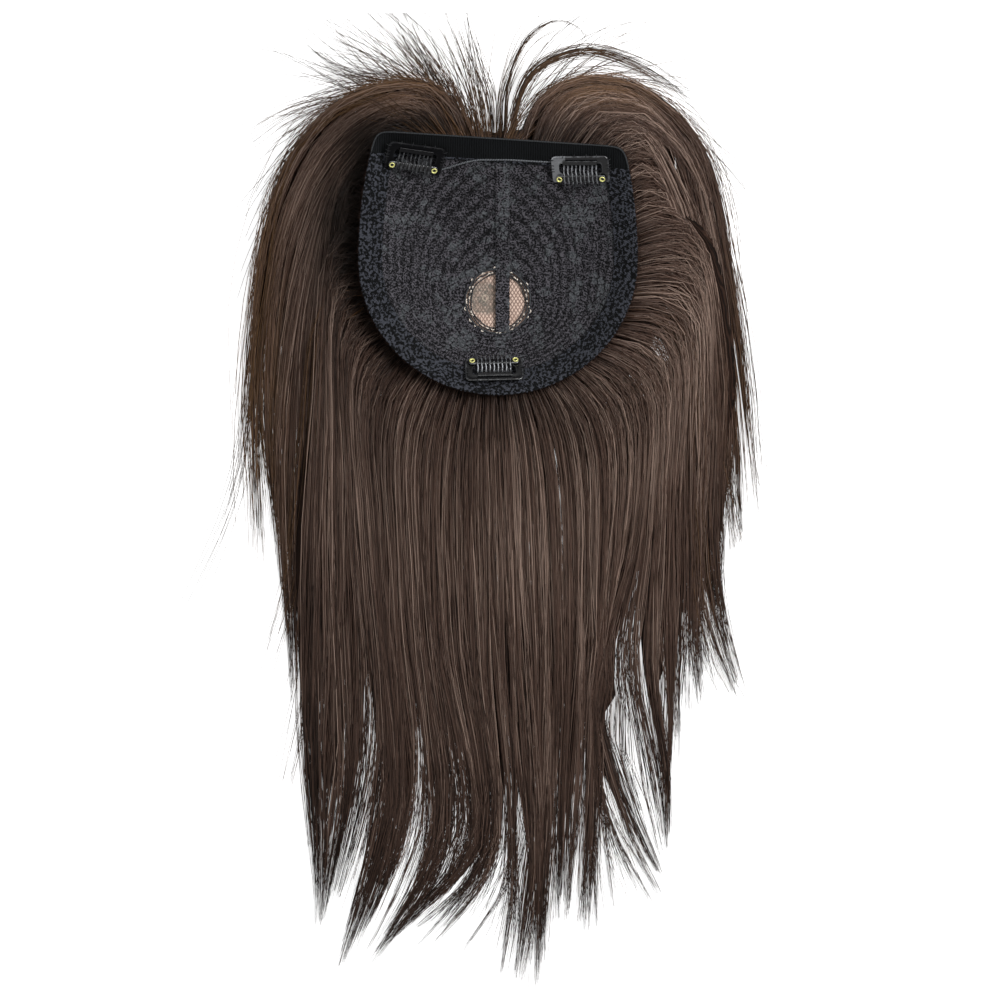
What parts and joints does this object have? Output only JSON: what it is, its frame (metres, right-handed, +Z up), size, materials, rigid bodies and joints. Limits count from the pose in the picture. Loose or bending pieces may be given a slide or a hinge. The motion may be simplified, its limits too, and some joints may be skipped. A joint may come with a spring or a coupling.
{
  "type": "clip-in hair topper",
  "caption": "Straight dark brown clip-in hair topper lying on its hair, with a dished lace cap, knitted edge band, ribbon front, weft rows and three snap clips facing up.",
  "frame": {"origin": "on the surface that the hair lies on, straight under the middle of the crown hole", "axes": "+X to the right as seen from above, +Y towards the front edge of the cap, +Z up, out of the open side of the cap"},
  "size_m": [0.3229, 0.538, 0.0414],
  "materials": {
    "hair": "straight mid brown fibre hair, satin, with lighter strands",
    "lace": "charcoal stretch lace with a floral pattern on a hexagon net",
    "knit_band": "knitted elastic with a serrated outer edge, charcoal",
    "ribbon": "fine ribbed velvet ribbon, black",
    "pale_net": "fine skin-coloured net",
    "weft": "machine-sewn weft, black brown",
    "clip_steel": "gloss black enamel on spring steel",
    "clip_grip": "black sleeve on the grip bar, with fine ribs",
    "eyelet": "pale gold plated eyelet"
  },
  "bodies": {
    "topper": {"cap_net": "lace", "edge_band": "knit_band", "front_band": "ribbon", "centre_strip": "lace", "crown_net": "pale_net", "weft_spiral": "weft", "hair": "hair", "clip_front_left_frame": "clip_steel", "clip_front_left_bar": "clip_grip", "clip_front_left_eyelet_left": "eyelet", "clip_front_left_eyelet_right": "eyelet", "clip_front_right_frame": "clip_steel", "clip_front_right_bar": "clip_grip", "clip_front_right_eyelet_left": "eyelet", "clip_front_right_eyelet_right": "eyelet", "clip_back_frame": "clip_steel", "clip_back_bar": "clip_grip", "clip_back_eyelet_left": "eyelet", "clip_back_eyelet_right": "eyelet"},
    "comb_front_left": {"clip_front_left_comb": "clip_steel"},
    "comb_front_right": {"clip_front_right_comb": "clip_steel"},
    "comb_back": {"clip_back_comb": "clip_steel"}
  },
  "joints": [
    {"name": "comb_front_left_hinge", "type": "hinge", "parent": "topper", "child": "comb_front_left", "pos_m": [-0.04435, 0.08184, 0.03752], "axis": [-0.9708, 0.1261, 0.2038], "range_deg": [0, 35]},
    {"name": "comb_front_right_hinge", "type": "hinge", "parent": "topper", "child": "comb_front_right", "pos_m": [0.04463, 0.07575, 0.03682], "axis": [-0.9865, 0, -0.1639], "range_deg": [0, 35]},
    {"name": "comb_back_hinge", "type": "hinge", "parent": "topper", "child": "comb_back", "pos_m": [-0.0018, -0.04119, 0.03299], "axis": [0.9987, 0.0262, -0.0442], "range_deg": [0, 35]}
  ]
}
